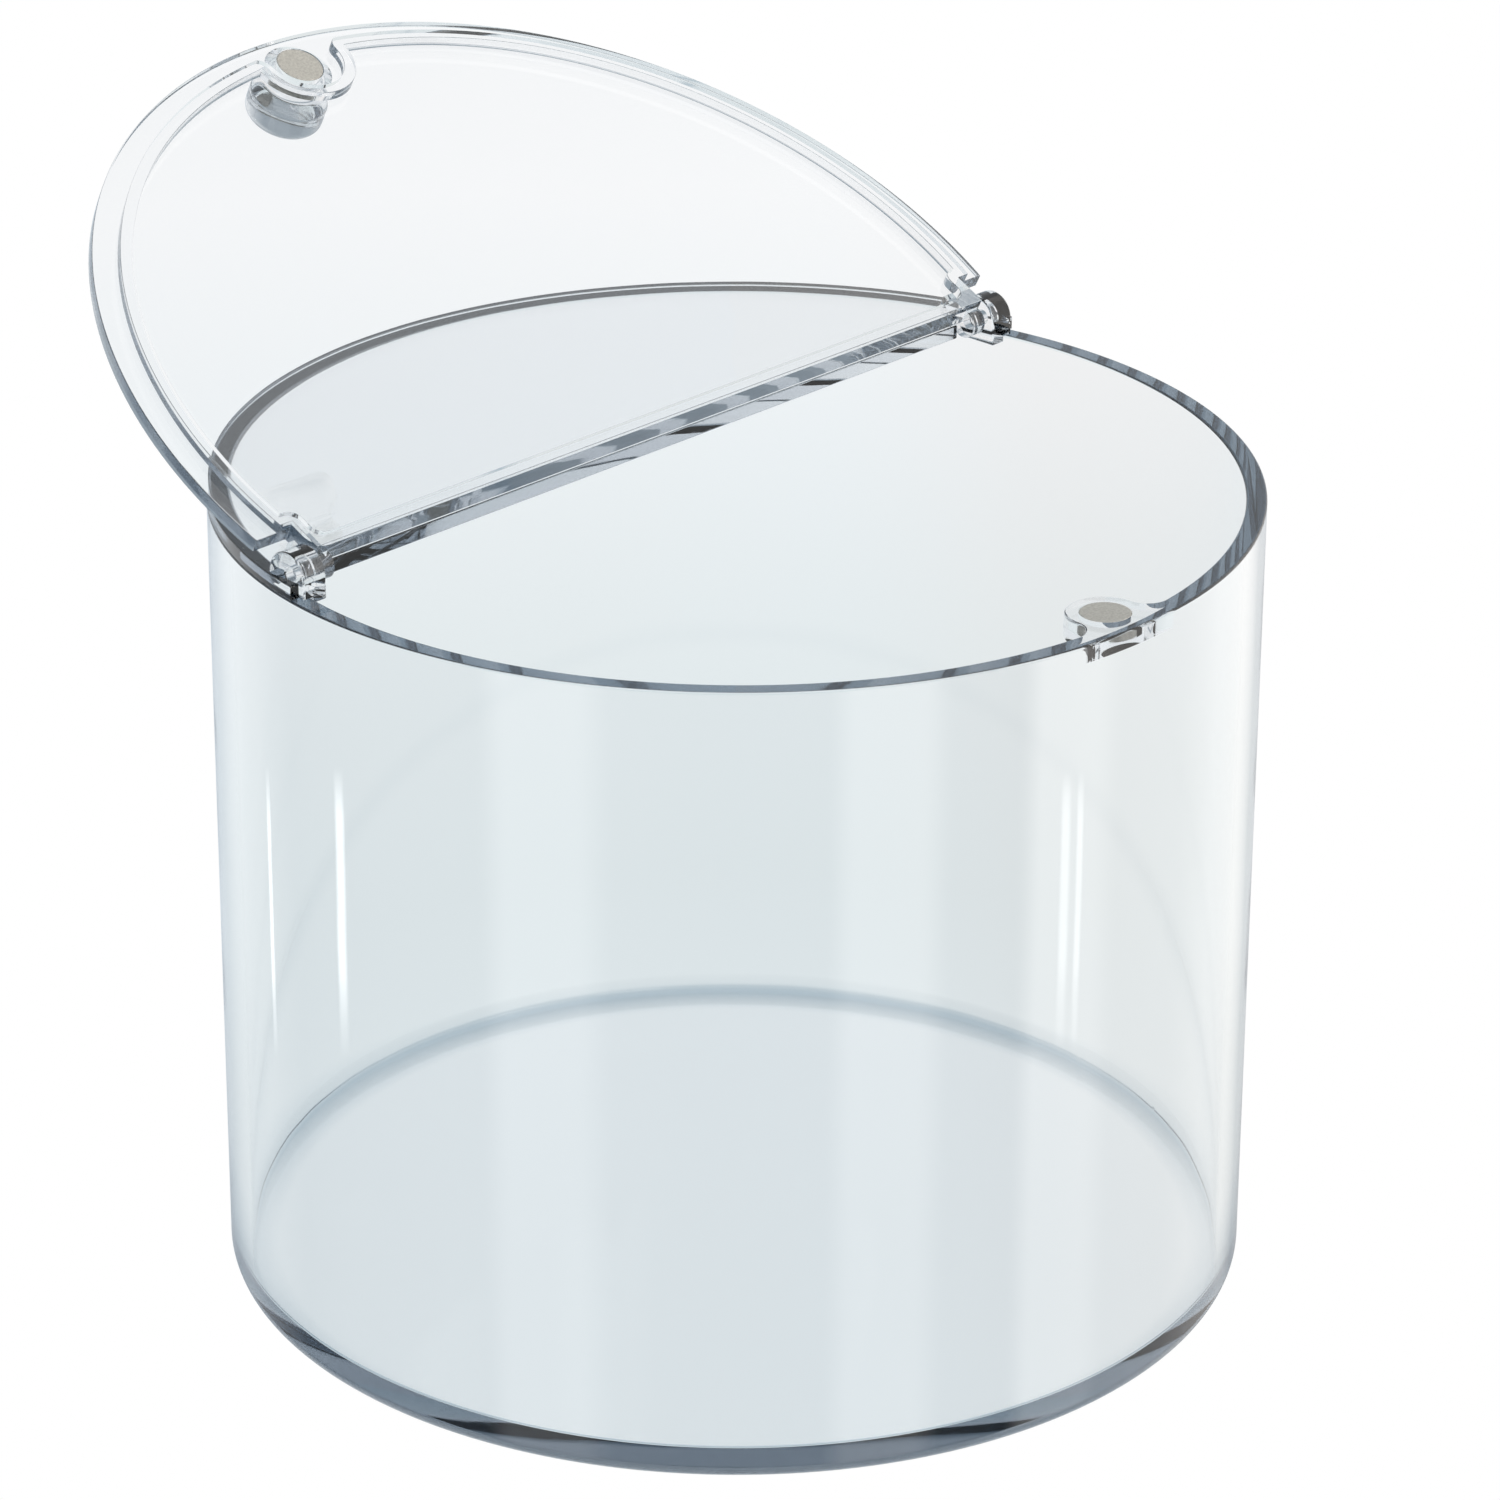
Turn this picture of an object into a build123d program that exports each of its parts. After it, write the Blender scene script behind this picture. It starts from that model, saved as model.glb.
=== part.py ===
from build123d import *
from math import cos, radians, sin, tan
import os

# Round clear bin for sweets: a tub, a fixed plate over the rear of its mouth, and a
# hinged lid over the rest, held shut by two magnets. Millimetres, +Z up. The origin is
# the centre of the tub's underside, the hinge line runs along X and the lid's knob and
# magnets are towards -Y. The lid stands open, against its stop.

# Tub
tub_radius = 95.25
wall = 3.8
rim_height = 151.4
floor_thickness = 5.0
foot_radius = 3.0
floor_corner = 1.0
rim_bevel = 0.5

# Plates over the mouth, and the rib under the lid that drops inside the rim
cover_thickness = 2.7
lid_thickness = 2.7
lid_inset = 0.6
seat_gap = 0.2
rib_width = 2.3
rib_depth = 2.0
rib_gap = 1.5
rib_bend = 2.5

# Hinge
hinge_y = 19.5
hinge_rise = 3.1
open_angle = 153.8
chord_inset = 0.3
chord_gap = 1.4
corner_reach = 7.2
lug_reach = 3.1
ear_radius = 4.5
ear_inset = 3.3
ear_width = 5.3
ear_skirt = 1.2
wall_gap = 0.3
knuckle_width = 3.2
knuckle_radius = 2.7
knuckle_gap = 0.4
pin_radius = 1.5
pin_length = 3.0
pin_clearance = 0.06
pin_end_gap = 0.3
heel_length = 6.5
heel_gap = 0.1

# Magnets, their boss inside the rim and the knob over the lid's one
magnet_radius = 4.6
magnet_thickness = 3.0
magnet_fit = 0.05
magnet_chamfer = 0.3
boss_radius = 7.1
boss_depth = 4.4
boss_blend = 4.0
boss_inset = 0.65
boss_rib_gap = 1.0
knob_radius = 7.6
knob_base = 6.6
knob_waist = 4.6
waist_height = 2.9
waist_round = 2.0
brim_height = 6.2
brim_round = 0.8
knob_height = 12.0
knob_round = 2.4

# Worked out from the sizes above
tub_inner = tub_radius - wall
ear_outer_x = tub_radius - ear_inset
ear_inner_x = ear_outer_x - ear_width
cover_top = rim_height + cover_thickness
hinge_z = rim_height + hinge_rise
cover_front_y = hinge_y - chord_inset + chord_gap
notch_y = hinge_y + knuckle_radius + knuckle_gap
arm_outer_x = ear_inner_x - knuckle_gap
arm_inner_x = arm_outer_x - knuckle_width
notch_x = arm_inner_x - knuckle_gap
rib_radius = tub_inner - rib_gap
lid_radius = tub_radius - lid_inset
lid_bottom = seat_gap - hinge_rise
lid_top = lid_bottom + lid_thickness
lid_centre = (0, -hinge_y)
magnet_y = boss_radius + boss_inset + rim_bevel - tub_radius
magnet_spot = (0, magnet_y)
knob_y = magnet_y - hinge_y
lid_magnet_spot = (0, knob_y)
heel_rise = (hinge_rise - cover_thickness - heel_gap) / cos(radians(180 - open_angle))
heel_slope = tan(radians(180 - open_angle))
far = 4 * tub_radius

# The lid's own frame: X along the hinge, Y and Z as the shut lid would have them
lid_normal = (0, sin(radians(open_angle)), cos(radians(open_angle)))
lid_plane = Plane(origin=(0, hinge_y, hinge_z), x_dir=(1, 0, 0), z_dir=lid_normal)
hinge_plane = Plane(origin=(0, hinge_y, hinge_z), x_dir=(1, 0, 0), z_dir=(0, 0, 1))


def across(base, x):
    """Plane across the hinge line at x, its X along the base's Y and its Y along the base's Z."""
    return base * Plane(origin=(x, 0, 0), x_dir=(0, 1, 0), z_dir=(1, 0, 0))


def boss_plan(gap):
    """The boss and the strip of wall it flows into, seen from above and grown by gap."""
    with BuildSketch() as plan:
        Circle(tub_radius - rim_bevel)
        Circle(tub_inner - gap, mode=Mode.SUBTRACT)
        with Locations(magnet_spot):
            Circle(boss_radius + gap)
        corners = plan.vertices().filter_by(
            lambda v: v.Y < -boss_radius
            and abs((v.X**2 + v.Y**2) ** 0.5 - tub_inner + gap) < boss_inset
        )
        fillet(corners, boss_blend - gap)
        with Locations(magnet_spot):
            Rectangle(6 * boss_radius, 4 * boss_radius, mode=Mode.INTERSECT)
    return plan.sketch


# Tub: a turned cup with a rounded foot, and a boss inside the rim for the magnet
with BuildPart() as tub:
    with BuildSketch(Plane.XZ) as tub_profile:
        with BuildLine():
            Polyline(
                (0, 0),
                (tub_radius, 0),
                (tub_radius, rim_height),
                (tub_inner, rim_height),
                (tub_inner, floor_thickness),
                (0, floor_thickness),
                close=True,
            )
        make_face()
        for corner, radius in (
            ((tub_radius, 0), foot_radius),
            ((tub_inner, floor_thickness), floor_corner),
        ):
            fillet(tub_profile.vertices().sort_by_distance(corner)[0], radius)
        for corner in ((tub_radius, rim_height), (tub_inner, rim_height)):
            chamfer(tub_profile.vertices().sort_by_distance(corner)[0], rim_bevel)
    revolve(axis=Axis.Z)
    with BuildSketch(Plane.XY.offset(rim_height - boss_depth)):
        add(boss_plan(0))
    extrude(amount=boss_depth)
    with BuildSketch(Plane.XY.offset(rim_height)):
        with Locations(magnet_spot):
            Circle(magnet_radius + magnet_fit)
    extrude(amount=-magnet_thickness, mode=Mode.SUBTRACT)
tub.part.label = "tub"

# Rear cover: the fixed plate, with an ear at each end of its front edge
with BuildPart() as rear_cover:
    with BuildSketch(Plane.XY.offset(rim_height)):
        Circle(tub_radius)
        with Locations((0, hinge_y - lug_reach)):
            Rectangle(far, far, align=(Align.CENTER, Align.MAX), mode=Mode.SUBTRACT)
        with Locations((0, cover_front_y)):
            Rectangle(
                2 * ear_inner_x, far, align=(Align.CENTER, Align.MAX), mode=Mode.SUBTRACT
            )
        with Locations((notch_x, notch_y)):
            Rectangle(
                ear_inner_x - notch_x, far, align=(Align.MIN, Align.MAX), mode=Mode.SUBTRACT
            )
        with Locations((-notch_x, notch_y)):
            Rectangle(
                ear_inner_x - notch_x, far, align=(Align.MAX, Align.MAX), mode=Mode.SUBTRACT
            )
    extrude(amount=cover_thickness)
    with BuildSketch(across(hinge_plane, ear_inner_x)):
        Circle(ear_radius)
        Rectangle(2 * ear_radius, 2 * ear_radius, align=(Align.CENTER, Align.MAX))
        with Locations((0, -hinge_rise)):
            Rectangle(far, far, align=(Align.CENTER, Align.MAX), mode=Mode.SUBTRACT)
    ears = extrude(amount=ear_outer_x - ear_inner_x)
    mirror(ears, about=Plane.YZ)
    with BuildSketch(Plane.XY.offset(rim_height)):
        Circle(tub_inner - wall_gap)
        Rectangle(2 * ear_inner_x, far, mode=Mode.SUBTRACT)
        with Locations((0, hinge_y)):
            Rectangle(far, 2 * ear_radius, mode=Mode.INTERSECT)
    extrude(amount=-ear_skirt)
    with Locations((0, 0, rim_height)):
        Cylinder(tub_radius, 2 * hinge_z, mode=Mode.INTERSECT)
    with BuildSketch(across(hinge_plane, ear_inner_x)):
        Circle(pin_radius + pin_clearance)
    sockets = extrude(amount=pin_length + pin_end_gap, mode=Mode.SUBTRACT)
    mirror(sockets, about=Plane.YZ, mode=Mode.SUBTRACT)
rear_cover.part.label = "rear_cover"

# Lid: plate, rib, knob and the two arms with their pins, drawn shut in the lid's frame
with BuildPart() as lid:
    with BuildSketch(lid_plane.offset(lid_bottom)):
        with Locations(lid_centre):
            Circle(lid_radius)
        with Locations((0, -chord_inset)):
            Rectangle(far, far, align=(Align.CENTER, Align.MIN), mode=Mode.SUBTRACT)
        with Locations((arm_outer_x, -corner_reach)):
            Rectangle(far, far, align=(Align.MIN, Align.MIN), mode=Mode.SUBTRACT)
        with Locations((-arm_outer_x, -corner_reach)):
            Rectangle(far, far, align=(Align.MAX, Align.MIN), mode=Mode.SUBTRACT)
    extrude(amount=lid_thickness)
    with BuildSketch(lid_plane.offset(lid_bottom)) as lid_rib:
        with Locations(lid_centre):
            Circle(rib_radius)
        with Locations((0, -chord_inset)):
            Rectangle(far, far, align=(Align.CENTER, Align.MIN), mode=Mode.SUBTRACT)
        with Locations((arm_outer_x, -corner_reach)):
            Rectangle(far, far, align=(Align.MIN, Align.MIN), mode=Mode.SUBTRACT)
        with Locations((-arm_outer_x, -corner_reach)):
            Rectangle(far, far, align=(Align.MAX, Align.MIN), mode=Mode.SUBTRACT)
        with BuildSketch(mode=Mode.SUBTRACT) as hollow:
            with Locations(lid_centre):
                Circle(rib_radius - rib_width)
            with Locations((0, -chord_inset - rib_width)):
                Rectangle(far, far, align=(Align.CENTER, Align.MIN), mode=Mode.SUBTRACT)
            with Locations((arm_outer_x - rib_width, -corner_reach - rib_width)):
                Rectangle(far, far, align=(Align.MIN, Align.MIN), mode=Mode.SUBTRACT)
            with Locations((rib_width - arm_outer_x, -corner_reach - rib_width)):
                Rectangle(far, far, align=(Align.MAX, Align.MIN), mode=Mode.SUBTRACT)
            bends = hollow.vertices().filter_by(
                lambda v: abs(abs(v.X) - arm_outer_x + rib_width) < chord_inset
            )
            fillet(bends, rib_bend)
            with Locations(lid_centre):
                add(boss_plan(boss_rib_gap + rib_width), mode=Mode.SUBTRACT)
        with Locations(lid_centre):
            add(boss_plan(boss_rib_gap), mode=Mode.SUBTRACT)
    extrude(amount=-rib_depth)
    with BuildSketch(across(lid_plane, 0)) as knob_profile:
        with BuildLine():
            Polyline(
                (knob_y, lid_top),
                (knob_y + knob_base, lid_top),
                (knob_y + knob_waist, lid_top + waist_height),
                (knob_y + knob_radius, lid_top + brim_height),
                (knob_y + knob_radius, lid_top + knob_height),
                (knob_y, lid_top + knob_height),
                close=True,
            )
        make_face()
        for width, height, radius in (
            (knob_waist, waist_height, waist_round),
            (knob_radius, brim_height, brim_round),
            (knob_radius, knob_height, knob_round),
        ):
            corner = (knob_y + width, lid_top + height)
            fillet(knob_profile.vertices().sort_by_distance(corner)[0], radius)
    revolve(axis=Axis(lid_plane.from_local_coords((0, knob_y, 0)), lid_plane.z_dir))
    with BuildSketch(lid_plane.offset(lid_bottom)):
        with Locations(lid_magnet_spot):
            Circle(magnet_radius + magnet_fit)
    extrude(amount=magnet_thickness, mode=Mode.SUBTRACT)
    with BuildSketch(across(lid_plane, arm_inner_x)):
        Circle(knuckle_radius)
        with BuildLine():
            Polyline(
                (0, -knuckle_radius),
                (0, heel_rise),
                (-heel_length, heel_rise + heel_length * heel_slope),
                (-heel_length, lid_bottom),
                (-knuckle_radius, lid_bottom),
                close=True,
            )
        make_face()
    arms = extrude(amount=knuckle_width)
    mirror(arms, about=Plane.YZ)
    with BuildSketch(across(lid_plane, arm_outer_x)):
        Circle(pin_radius)
    pins = extrude(amount=pin_length + knuckle_gap)
    mirror(pins, about=Plane.YZ)
lid.part.label = "lid"

# Magnets: one glued flush in the tub's boss, the other flush in the lid's underside
with BuildPart() as tub_magnet:
    with BuildSketch(Plane.XY.offset(rim_height)):
        with Locations(magnet_spot):
            Circle(magnet_radius)
    extrude(amount=-magnet_thickness)
    chamfer(tub_magnet.edges().filter_by(GeomType.CIRCLE), magnet_chamfer)
tub_magnet.part.label = "tub_magnet"

with BuildPart() as lid_magnet:
    with BuildSketch(lid_plane.offset(lid_bottom)):
        with Locations(lid_magnet_spot):
            Circle(magnet_radius)
    extrude(amount=magnet_thickness)
    chamfer(lid_magnet.edges().filter_by(GeomType.CIRCLE), magnet_chamfer)
lid_magnet.part.label = "lid_magnet"

os.makedirs("parts", exist_ok=True)
export_step(tub.part, "parts/tub.step")
export_step(rear_cover.part, "parts/rear_cover.step")
export_step(lid.part, "parts/lid.step")
export_step(tub_magnet.part, "parts/tub_magnet.step")
export_step(lid_magnet.part, "parts/lid_magnet.step")
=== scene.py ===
from math import acos, cos, pi, radians, sin
import bmesh
import bpy
from mathutils import Matrix, Vector


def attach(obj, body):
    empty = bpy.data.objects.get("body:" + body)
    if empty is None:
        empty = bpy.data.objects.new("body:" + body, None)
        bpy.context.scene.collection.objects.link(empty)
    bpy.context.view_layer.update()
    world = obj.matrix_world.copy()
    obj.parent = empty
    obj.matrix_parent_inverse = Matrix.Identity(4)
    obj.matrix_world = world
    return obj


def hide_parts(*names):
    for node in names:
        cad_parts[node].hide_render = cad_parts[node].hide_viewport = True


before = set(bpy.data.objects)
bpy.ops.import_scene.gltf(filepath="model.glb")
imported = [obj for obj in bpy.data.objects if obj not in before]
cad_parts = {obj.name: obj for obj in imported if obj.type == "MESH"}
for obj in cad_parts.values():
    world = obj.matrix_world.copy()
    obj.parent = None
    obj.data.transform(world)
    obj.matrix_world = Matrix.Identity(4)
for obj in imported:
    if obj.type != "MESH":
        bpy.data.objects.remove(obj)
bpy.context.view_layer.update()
print("frame loaded")

# the camera stands in front and to the left, a little above
camera = {
    "place": (-0.7406, -0.7028, 0.5574),  # metres
    "turn": (65.788, -0.265, -46.525),  # degrees
    "lens": 146.31,  # millimetres
}
cam = bpy.data.objects.new("camera", bpy.data.cameras.new("camera"))
cam.location = camera["place"]
cam.rotation_euler = [radians(a) for a in camera["turn"]]
cam.data.lens = camera["lens"]
cam.data.sensor_width = 36
cam.data.clip_end = 20
bpy.context.scene.collection.objects.link(cam)
bpy.context.scene.camera = cam
print("camera ready")

# All sizes below are in millimetres, for the shut bin, and are scaled once in makePiece.
mm = 0.001
hinge = Vector((0, 19.5, 154.5))
openAngle = radians(153.8)
magnetSpot = (0, -87.0)
roundSteps, knobSteps, pocketSteps, pinSteps = 240, 96, 64, 48  # faces round each circle
far = 300  # past every piece, for cutting blocks
past = 5  # how far cuts, and shapes that are then cut back, go past a face
sunk = 1  # how deep a shape starts inside the one that carries it
near = 0.001  # places closer than this count as one


# small shapes that the pieces are made from
def drum(radius, low, high, centre=(0, 0), steps=roundSteps):
    bm = bmesh.new()
    place = Matrix.Translation((centre[0], centre[1], (low + high) / 2))
    bmesh.ops.create_cone(
        bm, cap_ends=True, segments=steps, radius1=radius, radius2=radius,
        depth=high - low, matrix=place @ Matrix.Rotation(pi / steps, 4, "Z"),
    )
    return bm


def barAcross(radius, y, z, start, end, steps=pocketSteps):  # a round bar along X
    bm = bmesh.new()
    place = Matrix.Translation(((start + end) / 2, y, z)) @ Matrix.Rotation(pi / 2, 4, "Y")
    bmesh.ops.create_cone(
        bm, cap_ends=True, segments=steps, radius1=radius, radius2=radius,
        depth=abs(end - start), matrix=place,
    )
    return bm


def block(low, high):
    bm = bmesh.new()
    bmesh.ops.create_cube(bm, size=1)
    size = Vector(high) - Vector(low)
    middle = (Vector(high) + Vector(low)) / 2
    bmesh.ops.scale(bm, vec=size, verts=bm.verts)
    bmesh.ops.translate(bm, vec=middle, verts=bm.verts)
    return bm


def pulledFace(corners, pull):  # a flat outline, pulled into a solid
    bm = bmesh.new()
    face = bm.faces.new([bm.verts.new(c) for c in corners])
    grown = bmesh.ops.extrude_face_region(bm, geom=[face])["geom"]
    bmesh.ops.translate(
        bm, vec=pull, verts=[g for g in grown if isinstance(g, bmesh.types.BMVert)]
    )
    bmesh.ops.recalc_face_normals(bm, faces=bm.faces)
    return bm


def mirrored(bm):  # the same solid on the other side of the bin
    other = bm.copy()
    bmesh.ops.scale(other, vec=(-1, 1, 1), verts=other.verts)
    bmesh.ops.recalc_face_normals(other, faces=other.faces)
    return other


def arcPoints(centre, start, angle, steps):
    arm = Vector(start) - Vector(centre)
    return [Vector(centre) + Matrix.Rotation(angle * i / steps, 3, "Z") @ arm for i in range(steps + 1)]


def turned(path, centre=(0, 0), steps=roundSteps):  # a profile of (radius, height) spun upright
    bm = bmesh.new()
    verts = [bm.verts.new((x, 0, z)) for x, z in path]
    lines = [bm.edges.new(pair) for pair in zip(verts, verts[1:])]
    bmesh.ops.spin(
        bm, geom=verts + lines, cent=(0, 0, 0), axis=(0, 0, 1), angle=2 * pi,
        steps=steps, use_merge=True,
    )
    bmesh.ops.remove_doubles(bm, verts=bm.verts, dist=near)
    bmesh.ops.recalc_face_normals(bm, faces=bm.faces)
    bmesh.ops.translate(bm, vec=(centre[0], centre[1], 0), verts=bm.verts)
    return bm


def roundedLine(corners, steps=10):  # corners are (x, y, how round)
    line = []
    for i, (x, y, size) in enumerate(corners):
        spot = Vector((x, y, 0))
        if not size:
            line.append(spot)
            continue
        back, ahead = [
            (Vector((*corners[i + s][:2], 0)) - spot).normalized() for s in (-1, 1)
        ]
        half = back.angle(ahead) / 2
        middle = spot + (back + ahead).normalized() * size / sin(half)
        side = 1 if back.cross(ahead).z < 0 else -1
        start = spot + back * size / sin(half) * cos(half)
        line += arcPoints(middle, start, side * (pi - 2 * half), steps)
    return [(p.x, p.y) for p in line]


def asObject(bm, name="shape"):
    mesh = bpy.data.meshes.new(name)
    bm.to_mesh(mesh)
    bm.free()
    obj = bpy.data.objects.new(name, mesh)
    bpy.context.scene.collection.objects.link(obj)
    return obj


def settled(obj):  # the object's mesh with its modifiers applied
    graph = bpy.context.evaluated_depsgraph_get()
    mesh = bpy.data.meshes.new_from_object(obj.evaluated_get(graph), depsgraph=graph)
    obj.modifiers.clear()
    obj.data = mesh
    return obj


def combine(obj, action, *tools):  # action is UNION, DIFFERENCE or INTERSECT
    for bm in tools:
        tool = asObject(bm, "tool")
        step = obj.modifiers.new("combine", "BOOLEAN")
        step.operation = action
        step.solver = "EXACT"
        step.object = tool
        settled(obj)
        bpy.data.objects.remove(tool)
    return obj


def asMesh(obj):  # back to a bmesh, as a tool for the next step
    bm = bmesh.new()
    bm.from_mesh(obj.data)
    bpy.data.objects.remove(obj)
    return bm


edges = {
    "shortest": 0.12, "thinnest": 0.01,  # what cuts leave below these is merged away
    "roundedFrom": 40, "sharpFrom": 35,  # degrees between two faces
}


def softened(obj, size, segments=3):  # merges specks and rounds the edges
    bm = asMesh(obj)
    bmesh.ops.remove_doubles(bm, verts=bm.verts, dist=edges["shortest"])
    bmesh.ops.dissolve_degenerate(bm, edges=bm.edges, dist=edges["thinnest"])
    limit = radians(edges["roundedFrom"])
    sharp = [e for e in bm.edges if len(e.link_faces) == 2 and e.calc_face_angle(0) > limit]
    bmesh.ops.bevel(
        bm, geom=sharp, offset=size, segments=segments, profile=0.5, affect="EDGES", material=-1,
        clamp_overlap=True,
    )
    return bm


# tub, and the boss inside its rim that holds the magnet
tub = {
    "radius": 95.25, "inner": 91.45, "rim": 151.4, "floor": 5.0,
    "foot": 3.0, "corner": 1.0, "rimRound": 0.5, "pocket": 4.65, "pocketDepth": 3.0,
    "footSteps": 12, "cornerSteps": 6, "rimSteps": 5,
}
boss = {
    "radius": 7.1, "depth": 4.4, "blend": 4.0, "steps": 48,
    "intoWall": 1.5, "widerInWall": 0.4,  # how it is buried in the wall
}


def bossBlock(gap, low, high):  # the boss seen from above, grown by gap
    radius = boss["radius"] + gap
    blend = boss["blend"] - gap
    wall = tub["inner"] - gap
    centre = Vector((magnetSpot[0], magnetSpot[1], low))
    reach = -magnetSpot[1]
    out = wall - blend
    turn = acos((out**2 + reach**2 - (radius + blend) ** 2) / (2 * out * reach))
    blendCentre = Vector((out * sin(turn), -out * cos(turn), low))
    onWall = blendCentre + (blendCentre - Vector((0, 0, low))).normalized() * blend
    toBoss = (centre - blendCentre).normalized()
    sweep = (onWall - blendCentre).angle(toBoss)
    right = arcPoints(blendCentre, onWall, -sweep, boss["steps"] // 3)
    left = [Vector((-p.x, p.y, p.z)) for p in reversed(right)]
    half = (right[-1] - centre).angle(Vector((0, 1, 0)))
    over = arcPoints(centre, right[-1], 2 * half, boss["steps"])
    wide = onWall.x + boss["widerInWall"]
    buried = [Vector((s * wide, onWall.y - boss["intoWall"], low)) for s in (-1, 1)]
    return pulledFace(right[:-1] + over + left[1:] + buried, (0, 0, high - low))


def bend(x, z, radius, start, steps):  # a quarter circle in the profile, turning left
    turns = [start + pi / 2 * i / steps for i in range(steps + 1)]
    return [(x + radius * cos(t), z + radius * sin(t)) for t in turns]


def cup():  # the profile, spun about the upright axis
    t = tub
    foot, corner, edge = t["foot"], t["corner"], t["rimRound"]
    path = [(0, 0)]
    path += bend(t["radius"] - foot, foot, foot, -pi / 2, t["footSteps"])
    path += bend(t["radius"] - edge, t["rim"] - edge, edge, 0, t["rimSteps"])
    path += bend(t["inner"] + edge, t["rim"] - edge, edge, pi / 2, t["rimSteps"])
    inside = bend(t["inner"] - corner, t["floor"] + corner, corner, -pi / 2, t["cornerSteps"])
    path += reversed(inside)
    path += [(0, t["floor"])]
    return turned(path)


def roundedTop(bm, z, size, segments):
    top = [e for e in bm.edges if all(abs(v.co.z - z) < near for v in e.verts)]
    bmesh.ops.bevel(
        bm, geom=top, offset=size, segments=segments, profile=0.5, affect="EDGES", material=-1
    )
    return bm


def makeTub():
    t = tub
    body = asObject(cup(), "tubBody")
    solidBoss = bossBlock(0, t["rim"] - boss["depth"], t["rim"])
    combine(body, "UNION", roundedTop(solidBoss, t["rim"], t["rimRound"], t["rimSteps"]))
    bottom = t["rim"] - t["pocketDepth"]
    pocket = drum(t["pocket"], bottom, t["rim"] + past, magnetSpot, pocketSteps)
    combine(body, "DIFFERENCE", pocket)
    return asMesh(body)


# rear cover
cover = {
    "low": 151.4, "high": 154.1, "front": 20.6, "lugFront": 16.4, "notchBack": 22.6,
    "notchInner": 82.65, "earInner": 86.65, "earOuter": 91.95, "earRadius": 4.5, "earEdge": 0.5,
    "earSteps": 32, "earEdgeSteps": 4, "skirt": 1.2, "skirtRadius": 91.15,
    "socket": 1.56, "socketDepth": 3.3, "edge": 0.25,
    "earOverlap": 0.04, "earSink": 0.05, "skirtShort": 0.1,  # how ear, plate and skirt overlap
}


def makeCover():
    c = cover
    flush = c["earInner"] + c["earOverlap"]
    plate = asObject(drum(tub["radius"], c["low"], c["high"]), "plate")
    combine(
        plate, "DIFFERENCE",
        block((-far, -far, 0), (far, c["lugFront"], far)),
        block((-flush, -far, 0), (flush, c["front"], far)),
        block((-flush, -far, 0), (-c["notchInner"], c["notchBack"], far)),
        block((c["notchInner"], -far, 0), (flush, c["notchBack"], far)),
    )
    body = asObject(softened(plate, c["edge"]), "coverBody")
    for side in (1, -1):
        inner, outer = side * c["earInner"], side * c["earOuter"]
        turns = [pi * i / c["earSteps"] for i in range(c["earSteps"] + 1)]
        radius = c["earRadius"]
        outline = [(inner, hinge.y + radius * cos(t), hinge.z + radius * sin(t)) for t in turns]
        outline += [(inner, hinge.y + s * radius, c["low"] - past) for s in (-1, 1)]
        ear = asObject(pulledFace(outline, (outer - inner, 0, 0)), "ear")
        ear = asObject(softened(ear, c["earEdge"], c["earEdgeSteps"]), "ear")
        combine(ear, "DIFFERENCE", block((-far, -far, 0), (far, far, c["low"] + c["earSink"])))
        combine(body, "UNION", asMesh(ear))
        skirt = asObject(drum(c["skirtRadius"], c["low"] - c["skirt"], c["low"] + sunk), "skirt")
        left, right = sorted((side * flush, side * far))
        half = radius - c["skirtShort"]
        combine(skirt, "INTERSECT", block((left, hinge.y - half, 0), (right, hinge.y + half, far)))
        combine(body, "UNION", softened(skirt, c["edge"]))
    for side in (1, -1):
        start = side * (c["earInner"] - sunk)
        end = side * (c["earInner"] + c["socketDepth"])
        combine(body, "DIFFERENCE", barAcross(c["socket"], hinge.y, hinge.z, start, end, pinSteps))
    return asMesh(body)


# lid
lid = {
    "radius": 94.65, "low": 151.6, "high": 154.3,
    "chord": 19.2, "armOuter": 86.25, "cornerFront": 12.3,
    "ribOuter": 89.95, "ribWidth": 2.3, "ribDepth": 2.0, "ribGap": 1.0,
    "ribBend": 2.5, "bendSteps": 8,
    "knob": 7.6, "knobBase": 6.6, "knobWaist": 4.6, "waistHeight": 2.9, "brimHeight": 6.2,
    "knobHeight": 12.0, "waistRound": 2.0, "brimRound": 0.8, "knobRound": 2.4,
    "pocket": 4.65, "pocketDepth": 3.0,
    "armWidth": 3.2, "knuckle": 2.7, "pin": 1.5, "pinTip": 89.65,
    "heelLength": 6.5, "heelGap": 0.1, "edge": 0.25,
    "underKnuckle": 0.2, "intoPlate": 0.3,  # how the arm overlaps its knuckle and the plate
}


def trimmedDrum(radius, low, high, inset):  # a disc cut back behind the chord and at its corners
    c = lid
    body = asObject(drum(radius, low, high), "trimmed")
    side = c["armOuter"] - inset
    combine(
        body, "DIFFERENCE",
        block((-far, c["chord"] - inset, 0), (far, far, far)),
        block((side, c["cornerFront"] - inset, 0), (far, far, far)),
        block((-far, c["cornerFront"] - inset, 0), (-side, far, far)),
    )
    return body


def withBends(obj):  # rounds the upright corners beside the arms
    bm = asMesh(obj)
    side = lid["armOuter"] - lid["ribWidth"]
    atSide = [e for e in bm.edges if all(abs(abs(v.co.x) - side) < near for v in e.verts)]
    upright = [e for e in atSide if abs(e.verts[0].co.z - e.verts[1].co.z) > 1]
    bmesh.ops.bevel(
        bm, geom=upright, offset=lid["ribBend"], segments=lid["bendSteps"], profile=0.5,
        affect="EDGES", material=-1,
    )
    return bm


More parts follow.
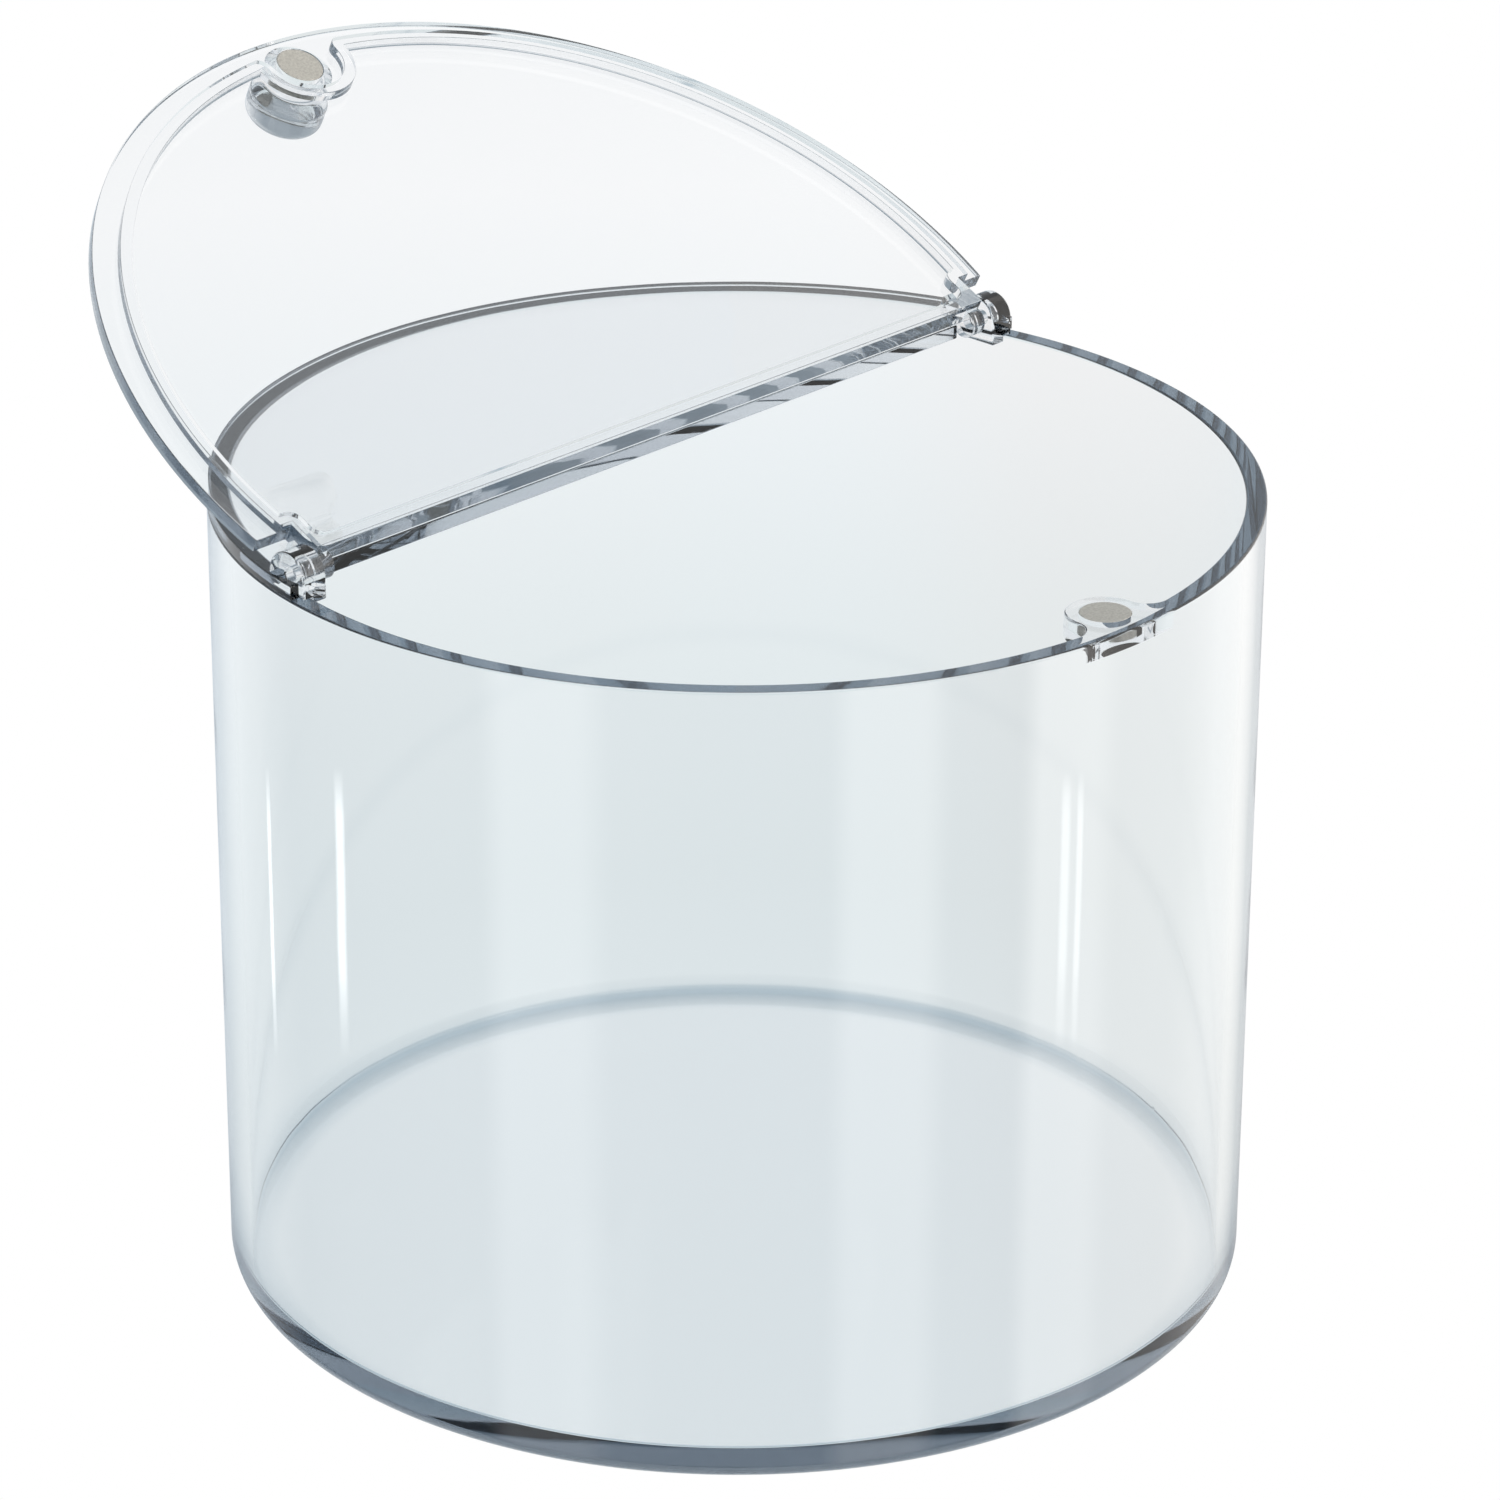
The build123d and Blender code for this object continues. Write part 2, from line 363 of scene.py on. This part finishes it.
def arm():
    c = lid
    slope = pi - openAngle
    rise = (hinge.z - cover["high"] - c["heelGap"]) / cos(slope)
    x = c["armOuter"] - c["armWidth"]
    back = -c["heelLength"]
    heelTop = rise + c["heelLength"] * sin(slope) / cos(slope)
    foot = c["low"] + c["intoPlate"] - hinge.z
    corners = [
        (0, -c["knuckle"] + c["underKnuckle"]), (0, rise), (back, heelTop),
        (back, foot), (-c["knuckle"], foot),
    ]
    side = pulledFace([(x, hinge.y + y, hinge.z + z) for y, z in corners], (c["armWidth"], 0, 0))
    body = asObject(side, "arm")
    combine(body, "UNION", barAcross(c["knuckle"], hinge.y, hinge.z, x, c["armOuter"]))
    body = asObject(softened(body, c["edge"]), "arm")
    pin = barAcross(c["pin"], hinge.y, hinge.z, c["armOuter"] - sunk, c["pinTip"], pinSteps)
    combine(body, "UNION", pin)
    return asMesh(body)


def makeKnob():  # turned, with a waist
    c = lid
    profile = roundedLine([
        (0, -sunk, 0), (c["knobBase"], -sunk, 0), (c["knobBase"], 0, 0),
        (c["knobWaist"], c["waistHeight"], c["waistRound"]),
        (c["knob"], c["brimHeight"], c["brimRound"]),
        (c["knob"], c["knobHeight"], c["knobRound"]), (0, c["knobHeight"], 0),
    ])
    return turned([(x, c["high"] + z) for x, z in profile], magnetSpot, knobSteps)


def makeLid():
    c = lid
    body = asObject(softened(trimmedDrum(c["radius"], c["low"], c["high"], 0), c["edge"]), "lidBody")
    rib = trimmedDrum(c["ribOuter"], c["low"] - c["ribDepth"], c["low"] + sunk, 0)
    inside = trimmedDrum(c["ribOuter"] - c["ribWidth"], 0, far, c["ribWidth"])
    hollow = asObject(withBends(inside), "hollow")
    combine(hollow, "DIFFERENCE", bossBlock(c["ribGap"] + c["ribWidth"], 0, far))
    combine(rib, "DIFFERENCE", asMesh(hollow), bossBlock(c["ribGap"], 0, far))
    combine(body, "UNION", softened(rib, c["edge"]))
    combine(body, "UNION", makeKnob())
    pocket = drum(c["pocket"], 0, c["low"] + c["pocketDepth"], magnetSpot, pocketSteps)
    combine(body, "DIFFERENCE", pocket)
    right = arm()
    left = mirrored(right)
    combine(body, "UNION", right, left)
    return asMesh(body)


# magnets
magnet = {"radius": 4.6, "thickness": 3.0, "round": 0.3}


def makeMagnet(low):
    bm = drum(magnet["radius"], low, low + magnet["thickness"], magnetSpot, knobSteps)
    rings = [e for e in bm.edges if abs(e.verts[0].co.z - e.verts[1].co.z) < near]
    bmesh.ops.bevel(
        bm, geom=rings, offset=magnet["round"], segments=3, profile=0.5, affect="EDGES", material=-1
    )
    return bm


# finishing
def opened(bm):  # turns a shut shape about the hinge to where it stands open
    turn = Matrix.Rotation(-openAngle, 4, "X")
    bmesh.ops.transform(
        bm, matrix=Matrix.Translation(hinge) @ turn @ Matrix.Translation(-hinge), verts=bm.verts
    )
    return bm


def makePiece(name, bm, material, body, node):
    bmesh.ops.remove_doubles(bm, verts=bm.verts, dist=2 * near)
    bmesh.ops.dissolve_degenerate(bm, edges=bm.edges, dist=near)
    bmesh.ops.scale(bm, vec=(mm, mm, mm), verts=bm.verts)
    obj = asObject(bm, name)
    obj.data.name = name
    obj.data.shade_smooth()
    obj.data.set_sharp_from_angle(angle=radians(edges["sharpFrom"]))
    weight = obj.modifiers.new("flatFaces", "WEIGHTED_NORMAL")
    weight.keep_sharp = True
    settled(obj)
    obj.data.materials.clear()
    obj.data.materials.append(material)
    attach(obj, body)
    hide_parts(node)
    print(name, "made,", len(obj.data.polygons), "faces")
    return obj


def addNode(tree, kind, **values):
    node = tree.nodes.new(kind)
    for name, value in values.items():
        if name in node.inputs:
            node.inputs[name].default_value = value
        else:
            setattr(node, name, value)
    return node


def blendColours(tree, share, first, second):  # share and both colours are sockets or values
    mix = addNode(tree, "ShaderNodeMix", data_type="RGBA")
    for socket, value in zip((mix.inputs[0], mix.inputs[6], mix.inputs[7]), (share, first, second)):
        if isinstance(value, bpy.types.NodeSocket):
            tree.links.new(value, socket)
        else:
            socket.default_value = value
    return mix.outputs[2]


# materials
clear = {
    "colour": (1, 1, 1, 1), "ior": 1.49, "tint": (0.0, 0.12, 0.24, 1), "density": 7.2,
    "waveScale": 38, "waveDetail": 1, "waveHeight": 0.00004,  # the slow waves that moulding leaves
    "rubScale": 260, "rubDetail": 6, "rubFrom": 0.56, "rubTo": 0.80,  # faint rubbed patches
    "rubRoughness": 0.05, "rubStretch": (1, 1, 0.35),
}


def noise(tree, scale, detail, stretch=(1, 1, 1)):
    spot = tree.nodes.new("ShaderNodeTexCoord")
    turn = addNode(tree, "ShaderNodeMapping", Scale=stretch)
    tree.links.new(spot.outputs["Object"], turn.inputs["Vector"])
    pattern = addNode(tree, "ShaderNodeTexNoise", Scale=scale, Detail=detail)
    tree.links.new(turn.outputs[0], pattern.inputs["Vector"])
    return pattern.outputs["Fac"]


def spreadOut(tree, value, low, high, first, second):  # first at low, second at high
    share = addNode(tree, "ShaderNodeMapRange")
    tree.links.new(value, share.inputs[0])
    for socket, number in zip(share.inputs[1:5], (low, high, first, second)):
        socket.default_value = number
    return share.outputs[0]


def bumped(tree, shader, height, depth):
    bump = addNode(tree, "ShaderNodeBump", Distance=depth)
    tree.links.new(height, bump.inputs["Height"])
    tree.links.new(bump.outputs[0], shader.inputs["Normal"])


def clearPlastic():
    mat = bpy.data.materials.new("clearPlastic")
    mat.use_nodes = True
    tree = mat.node_tree
    shader = tree.nodes["Principled BSDF"]
    shader.inputs["Base Color"].default_value = clear["colour"]
    shader.inputs["IOR"].default_value = clear["ior"]
    shader.inputs["Transmission Weight"].default_value = 1.0
    rubbed = noise(tree, clear["rubScale"], clear["rubDetail"], clear["rubStretch"])
    haze = spreadOut(tree, rubbed, clear["rubFrom"], clear["rubTo"], 0, clear["rubRoughness"])
    tree.links.new(haze, shader.inputs["Roughness"])
    bumped(tree, shader, noise(tree, clear["waveScale"], clear["waveDetail"]), clear["waveHeight"])
    dye = addNode(tree, "ShaderNodeVolumeAbsorption", Color=clear["tint"], Density=clear["density"])
    tree.links.new(dye.outputs[0], tree.nodes["Material Output"].inputs["Volume"])
    return mat


steel = {
    "light": (0.45, 0.435, 0.39, 1), "dark": (0.36, 0.345, 0.31, 1), "metallic": 0.6,
    "speckScale": 2600, "speckDetail": 5, "smooth": 0.42, "rough": 0.62, "grainDepth": 0.00001,
    "paintSpread": (0.35, 0.65), "roughSpread": (0.3, 0.7),  # which part of the specks each follows
}


def magnetMetal():
    mat = bpy.data.materials.new("magnetMetal")
    mat.use_nodes = True
    tree = mat.node_tree
    shader = tree.nodes["Principled BSDF"]
    shader.inputs["Metallic"].default_value = steel["metallic"]
    specks = noise(tree, steel["speckScale"], steel["speckDetail"])
    share = spreadOut(tree, specks, *steel["paintSpread"], 0, 1)
    shade = blendColours(tree, share, steel["dark"], steel["light"])
    grain = spreadOut(tree, specks, *steel["roughSpread"], steel["rough"], steel["smooth"])
    tree.links.new(shade, shader.inputs["Base Color"])
    tree.links.new(grain, shader.inputs["Roughness"])
    bumped(tree, shader, specks, steel["grainDepth"])
    return mat


plastic = clearPlastic()
metal = magnetMetal()
print("materials ready")

makePiece("clearTub", makeTub(), plastic, "bin", "tub")
makePiece("clearCover", makeCover(), plastic, "bin", "rear_cover")
makePiece("clearLid", opened(makeLid()), plastic, "hinged_lid", "lid")
lowMagnet = makeMagnet(tub["rim"] - magnet["thickness"])
highMagnet = opened(makeMagnet(lid["low"]))
makePiece("tubMagnet", lowMagnet, metal, "bin", "tub_magnet")
makePiece("lidMagnet", highMagnet, metal, "hinged_lid", "lid_magnet")

# floor and light
room = {
    "floorSize": 6.0, "floorHeight": -0.0005, "paint": 0.8, "panelGain": 4.0,
    "front": (-0.725, -0.689), "right": (0.689, -0.725),  # seen from above, in the bin's own frame
    "dimHeights": (-0.485, -0.435), "dimmed": 0.72,  # panels are dimmer low down
    "steepHeights": (-0.75, -0.60), "below": (0.78, 0.83, 0.85),  # and the pale floor takes over below
    "warmSide": 0.03, "warmFull": 90,  # panels are warmer to the right, fully at this many degrees
    "coolDark": 0.22,  # and cooler where they are dark
    "paintedWarmLight": (1.0, 0.968, 0.952),  # painted warm light on the floor's right side
    "warmFrom": 0.02, "warmTo": 0.09,  # metres from the middle
    "aimHeight": 0.08, "bounces": 64,
}
# metres from the bin, and the painted shade that clear plastic shows of the floor there: a painted shadow
# near the bin, a painted contact shadow ring at its foot, lighter further out and dark far away
paintedFloorShade = [
    (0.00, (0.79, 0.855, 0.88)), (0.0895, (0.79, 0.855, 0.88)), (0.0925, (0.42, 0.53, 0.60)),
    (0.098, (0.42, 0.53, 0.60)), (0.103, (0.77, 0.835, 0.855)), (0.16, (0.76, 0.825, 0.84)),
    (0.26, (0.79, 0.85, 0.865)), (0.42, (0.875, 0.915, 0.935)), (0.60, (0.965, 0.975, 0.985)),
    (0.85, (0.965, 0.975, 0.985)), (1.20, (0.80, 0.83, 0.86)), (1.70, (0.28, 0.335, 0.38)),
]
# how steeply up one looks, as the upright part of the direction, and the room's shade there
skyShades = [
    (0.0, (0.80, 0.83, 0.86)), (0.42, (0.80, 0.83, 0.86)),
    (0.65, (0.28, 0.335, 0.38)), (1.0, (0.28, 0.335, 0.38)),
]
# degrees round the bin from its front, right is positive, and how bright that side is
panels = [
    (-180, 0.70), (-155, 0.75), (-140, 1.15), (-128, 1.05), (-112, 0.50), (-57, 0.45),
    (-51, 2.00), (-34, 2.00), (-27, 0.60), (-10, 0.42), (20, 0.42), (25, 2.10),
    (41, 2.10), (47, 0.55), (64, 0.42), (69, 2.60), (84, 2.60), (91, 1.60),
    (112, 1.45), (128, 1.70), (145, 1.45), (157, 0.75), (180, 0.70),
]
# narrow strip lights: degrees round the bin, width in degrees, how bright
strips = [(-124, 1.6, 2.5), (-96, 2.6, 5.0), (76, 2.2, 3.0), (80, 1.6, 3.0)]
stripCore, stripEdge = 0.3, 0.7  # shares of the width: full up to the first, gone at the second
stripHeights = (-0.455, -0.440, -0.420, -0.412)  # upright part of the direction: off, on, on, off


def colourRamp(tree, value, low, high, stops):  # stops are (value, colour) in rising order
    share = addNode(tree, "ShaderNodeMapRange")
    tree.links.new(value, share.inputs[0])
    share.inputs[1].default_value = low
    share.inputs[2].default_value = high
    ramp = tree.nodes.new("ShaderNodeValToRGB")
    ends = ramp.color_ramp.elements
    places = [(place - low) / (high - low) for place, _ in stops]
    ends[0].position = places[0]
    ends[1].position = places[-1]
    for place in places[1:-1]:
        ends.new(place)
    for end, (_, colour) in zip(ends, stops):
        end.color = (*colour, 1)
    tree.links.new(share.outputs[0], ramp.inputs[0])
    return ramp.outputs[0]


def dotWith(tree, vector, direction):
    node = addNode(tree, "ShaderNodeVectorMath", operation="DOT_PRODUCT")
    tree.links.new(vector, node.inputs[0])
    node.inputs[1].default_value = (*direction, 0)
    return node.outputs["Value"]


def joined(tree, operation, first, second):  # numbers or sockets
    node = addNode(tree, "ShaderNodeMath", operation=operation)
    for socket, value in zip(node.inputs, (first, second)):
        if isinstance(value, bpy.types.NodeSocket):
            tree.links.new(value, socket)
        else:
            socket.default_value = value
    return node.outputs[0]


def scaled(tree, colour, share):
    node = addNode(tree, "ShaderNodeVectorMath", operation="SCALE")
    for socket, value in zip((node.inputs[0], node.inputs["Scale"]), (colour, share)):
        if isinstance(value, bpy.types.NodeSocket):
            tree.links.new(value, socket)
        else:
            socket.default_value = value
    return node.outputs[0]


def panelLight(tree, direction):  # the light and dark sides of the room, for reflections
    turn = addNode(tree, "ShaderNodeMath", operation="ARCTAN2")
    tree.links.new(dotWith(tree, direction, room["right"]), turn.inputs[0])
    tree.links.new(dotWith(tree, direction, room["front"]), turn.inputs[1])
    stops = []
    for angle, level in panels:
        warm = min(max(angle / room["warmFull"], -1), 1) * room["warmSide"]
        cool = max(1 - level, 0) * room["coolDark"]
        tones = (1 + warm - cool, 1, 1 - warm + cool)
        stops.append((radians(angle), [level / room["panelGain"] * tone for tone in tones]))
    height = tree.nodes.new("ShaderNodeSeparateXYZ")
    tree.links.new(direction, height.inputs[0])
    dim = spreadOut(tree, height.outputs["Z"], *room["dimHeights"], room["dimmed"], 1)
    light = scaled(tree, colourRamp(tree, turn.outputs[0], -pi, pi, stops), dim)
    off, on, end, out = stripHeights
    low = spreadOut(tree, height.outputs["Z"], off, on, 0, 1)
    high = spreadOut(tree, height.outputs["Z"], end, out, 1, 0)
    tall = joined(tree, "MULTIPLY", low, high)
    for angle, width, level in strips:
        aside = joined(tree, "SUBTRACT", turn.outputs[0], radians(angle))
        away = joined(tree, "ABSOLUTE", aside, 0)
        wide = spreadOut(tree, away, radians(width * stripCore), radians(width * stripEdge), 1, 0)
        share = joined(tree, "MULTIPLY", joined(tree, "MULTIPLY", wide, tall), level / room["panelGain"])
        extra = scaled(tree, (1, 1, 1), share)
        both = addNode(tree, "ShaderNodeVectorMath", operation="ADD")
        tree.links.new(light, both.inputs[0])
        tree.links.new(extra, both.inputs[1])
        light = both.outputs[0]
    steep = spreadOut(tree, height.outputs["Z"], *room["steepHeights"], 1, 0)
    return blendColours(tree, steep, scaled(tree, light, room["panelGain"]), (*room["below"], 1))


def floorMaterial():
    mat = bpy.data.materials.new("paleFloor")
    mat.use_nodes = True
    tree = mat.node_tree
    tree.nodes.clear()
    out = tree.nodes.new("ShaderNodeOutputMaterial")
    path = tree.nodes.new("ShaderNodeLightPath")
    spot = tree.nodes.new("ShaderNodeTexCoord")
    # rays through the plastic see the floor glow with painted shade by distance from the bin, the painted
    # contact shadow ring included
    away = addNode(tree, "ShaderNodeVectorMath", operation="LENGTH")
    tree.links.new(spot.outputs["Object"], away.inputs[0])
    shade = colourRamp(tree, away.outputs["Value"], 0, 2, paintedFloorShade)
    # painted warm light towards the floor's right side
    side = addNode(tree, "ShaderNodeMapRange", interpolation_type="SMOOTHSTEP")
    tree.links.new(dotWith(tree, spot.outputs["Object"], room["right"]), side.inputs[0])
    side.inputs[1].default_value = room["warmFrom"]
    side.inputs[2].default_value = room["warmTo"]
    tint = blendColours(tree, side.outputs[0], (1, 1, 1, 1), (*room["paintedWarmLight"], 1))
    paintedShadeAndWarmth = addNode(tree, "ShaderNodeVectorMath", operation="MULTIPLY")
    tree.links.new(shade, paintedShadeAndWarmth.inputs[0])
    tree.links.new(tint, paintedShadeAndWarmth.inputs[1])
    # the camera sees the floor plain white and diffuse rays its plain paint; rays through the plastic see
    # the painted shade and painted warm light
    glow = tree.nodes.new("ShaderNodeEmission")
    seen = blendColours(tree, path.outputs["Is Camera Ray"], paintedShadeAndWarmth.outputs[0], (1, 1, 1, 1))
    tree.links.new(seen, glow.inputs["Color"])
    paint = addNode(tree, "ShaderNodeBsdfDiffuse", Color=(room["paint"], room["paint"], room["paint"], 1))
    mix = tree.nodes.new("ShaderNodeMixShader")
    tree.links.new(path.outputs["Is Diffuse Ray"], mix.inputs[0])
    tree.links.new(glow.outputs[0], mix.inputs[1])
    tree.links.new(paint.outputs[0], mix.inputs[2])
    tree.links.new(mix.outputs[0], out.inputs["Surface"])
    return mat


bpy.ops.mesh.primitive_plane_add(size=room["floorSize"], location=(0, 0, room["floorHeight"]))
floor = bpy.context.object
floor.name = "floor"
floor.data.materials.append(floorMaterial())
floor.visible_glossy = False


def paintRoom():
    world = bpy.data.worlds.new("studio")
    bpy.context.scene.world = world
    world.use_nodes = True
    tree = world.node_tree
    path = tree.nodes.new("ShaderNodeLightPath")
    direction = tree.nodes.new("ShaderNodeTexCoord").outputs["Generated"]
    height = tree.nodes.new("ShaderNodeSeparateXYZ")
    tree.links.new(direction, height.inputs[0])
    sky = colourRamp(tree, height.outputs["Z"], 0, 1, skyShades)
    through = blendColours(tree, path.outputs["Is Transmission Ray"], panelLight(tree, direction), sky)
    colour = blendColours(tree, path.outputs["Is Camera Ray"], through, (1, 1, 1, 1))
    tree.links.new(colour, tree.nodes["Background"].inputs["Color"])


paintRoom()
print("room ready")


def softLamp(name, place, size, power):
    lamp = bpy.data.lights.new(name, "AREA")
    lamp.shape = "RECTANGLE"
    lamp.size, lamp.size_y = size
    lamp.energy = power
    obj = bpy.data.objects.new(name, lamp)
    obj.location = place
    direction = -obj.location
    direction.z += room["aimHeight"]
    obj.rotation_euler = direction.to_track_quat("-Z", "Y").to_euler()
    obj.visible_glossy = False
    obj.visible_transmission = False
    bpy.context.scene.collection.objects.link(obj)
    return obj


# name, place and size in metres, and watts
lamps = [
    ("keyLamp", (-1.6, -0.2, 1.0), (0.5, 1.4), 12),
    ("fillLamp", (0.6, -1.6, 0.9), (0.3, 1.4), 8),
]
for lampValues in lamps:
    softLamp(*lampValues)

cycles = bpy.context.scene.cycles
cycles.max_bounces = room["bounces"]
cycles.transmission_bounces = room["bounces"]
cycles.glossy_bounces = room["bounces"]
bpy.context.scene.view_settings.view_transform = "Standard"
